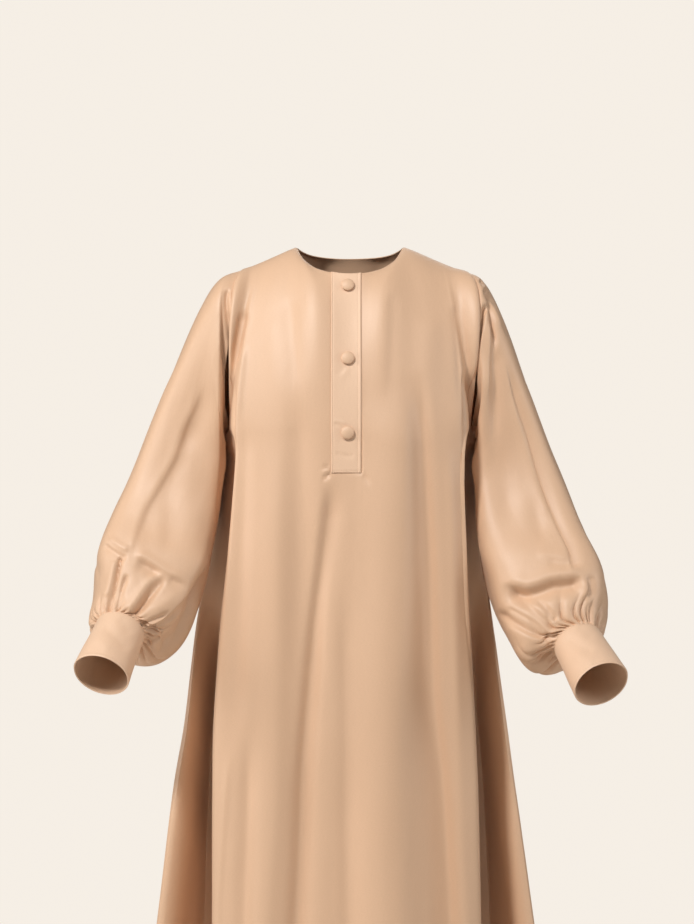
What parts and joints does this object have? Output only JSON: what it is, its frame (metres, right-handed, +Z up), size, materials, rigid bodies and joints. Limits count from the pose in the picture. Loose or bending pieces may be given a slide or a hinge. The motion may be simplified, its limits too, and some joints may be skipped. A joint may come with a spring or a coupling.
{
  "type": "abaya",
  "caption": "Closed pull-on abaya in plain satin-finish crepe, worn shape, with a buttoned half placket and long bishop sleeves gathered into deep cuffs.",
  "frame": {"origin": "midway between the shoulder tips, where the garment hangs on the wearer's shoulders", "axes": "+Z up, the front faces -Y, and +X is the wearer's left"},
  "size_m": [0.7447, 0.4336, 1.4202],
  "materials": {
    "robe_cloth": "camel-coloured crepe with a soft satin face",
    "cuff_cloth": "the same camel crepe, interfaced and pressed smooth",
    "placket_cloth": "the same camel crepe, interfaced, pressed and edge stitched",
    "button_cloth": "the same camel crepe stretched over a domed button"
  },
  "bodies": {
    "root": {"front": "robe_cloth", "back": "robe_cloth", "sleeve_right": "robe_cloth", "sleeve_left": "robe_cloth", "cuff_right": "cuff_cloth", "cuff_left": "cuff_cloth", "placket": "placket_cloth", "button_1": "button_cloth", "button_2": "button_cloth", "button_3": "button_cloth"}
  },
  "joints": []
}
